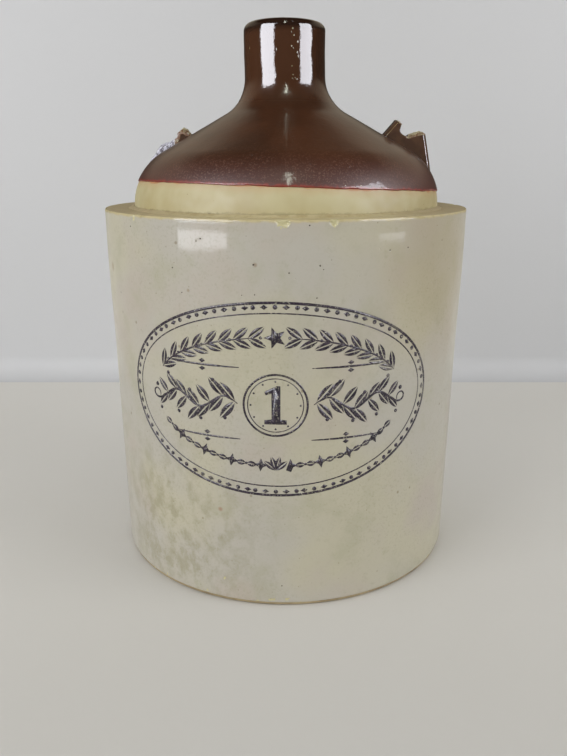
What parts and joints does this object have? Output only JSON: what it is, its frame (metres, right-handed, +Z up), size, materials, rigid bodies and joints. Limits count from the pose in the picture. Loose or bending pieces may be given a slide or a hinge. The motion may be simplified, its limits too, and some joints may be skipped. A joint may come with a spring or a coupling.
{
  "type": "stoneware jug",
  "caption": "Straight-sided stoneware jug with a flat ledge shoulder, a dark-dipped dome, a plain neck bored for a stopper, and the broken stumps of its bail ears.",
  "frame": {"origin": "centre of the base, on the plane that the jug stands on", "axes": "+Z up along the jug's axis; -Y towards the printed side; the ears stand on the X axis"},
  "size_m": [0.18, 0.18, 0.261],
  "materials": {
    "buff_clay": "vitrified buff stoneware, matt, speckled with iron and kiln dirt",
    "cream_clay": "vitrified cream stoneware, satin",
    "white_glaze": "grey-white stoneware glaze, glossy, with pits, stains and fine crazing",
    "brown_slip": "dark brown clay slip, very glossy, rusty at its edge"
  },
  "bodies": {
    "root": {"body": "buff_clay", "dome": "cream_clay", "luting_slip": "buff_clay", "left_ear": "brown_slip", "right_ear": "brown_slip", "body_glaze": "white_glaze", "dome_glaze": "brown_slip", "lining_glaze": "brown_slip"}
  },
  "joints": []
}
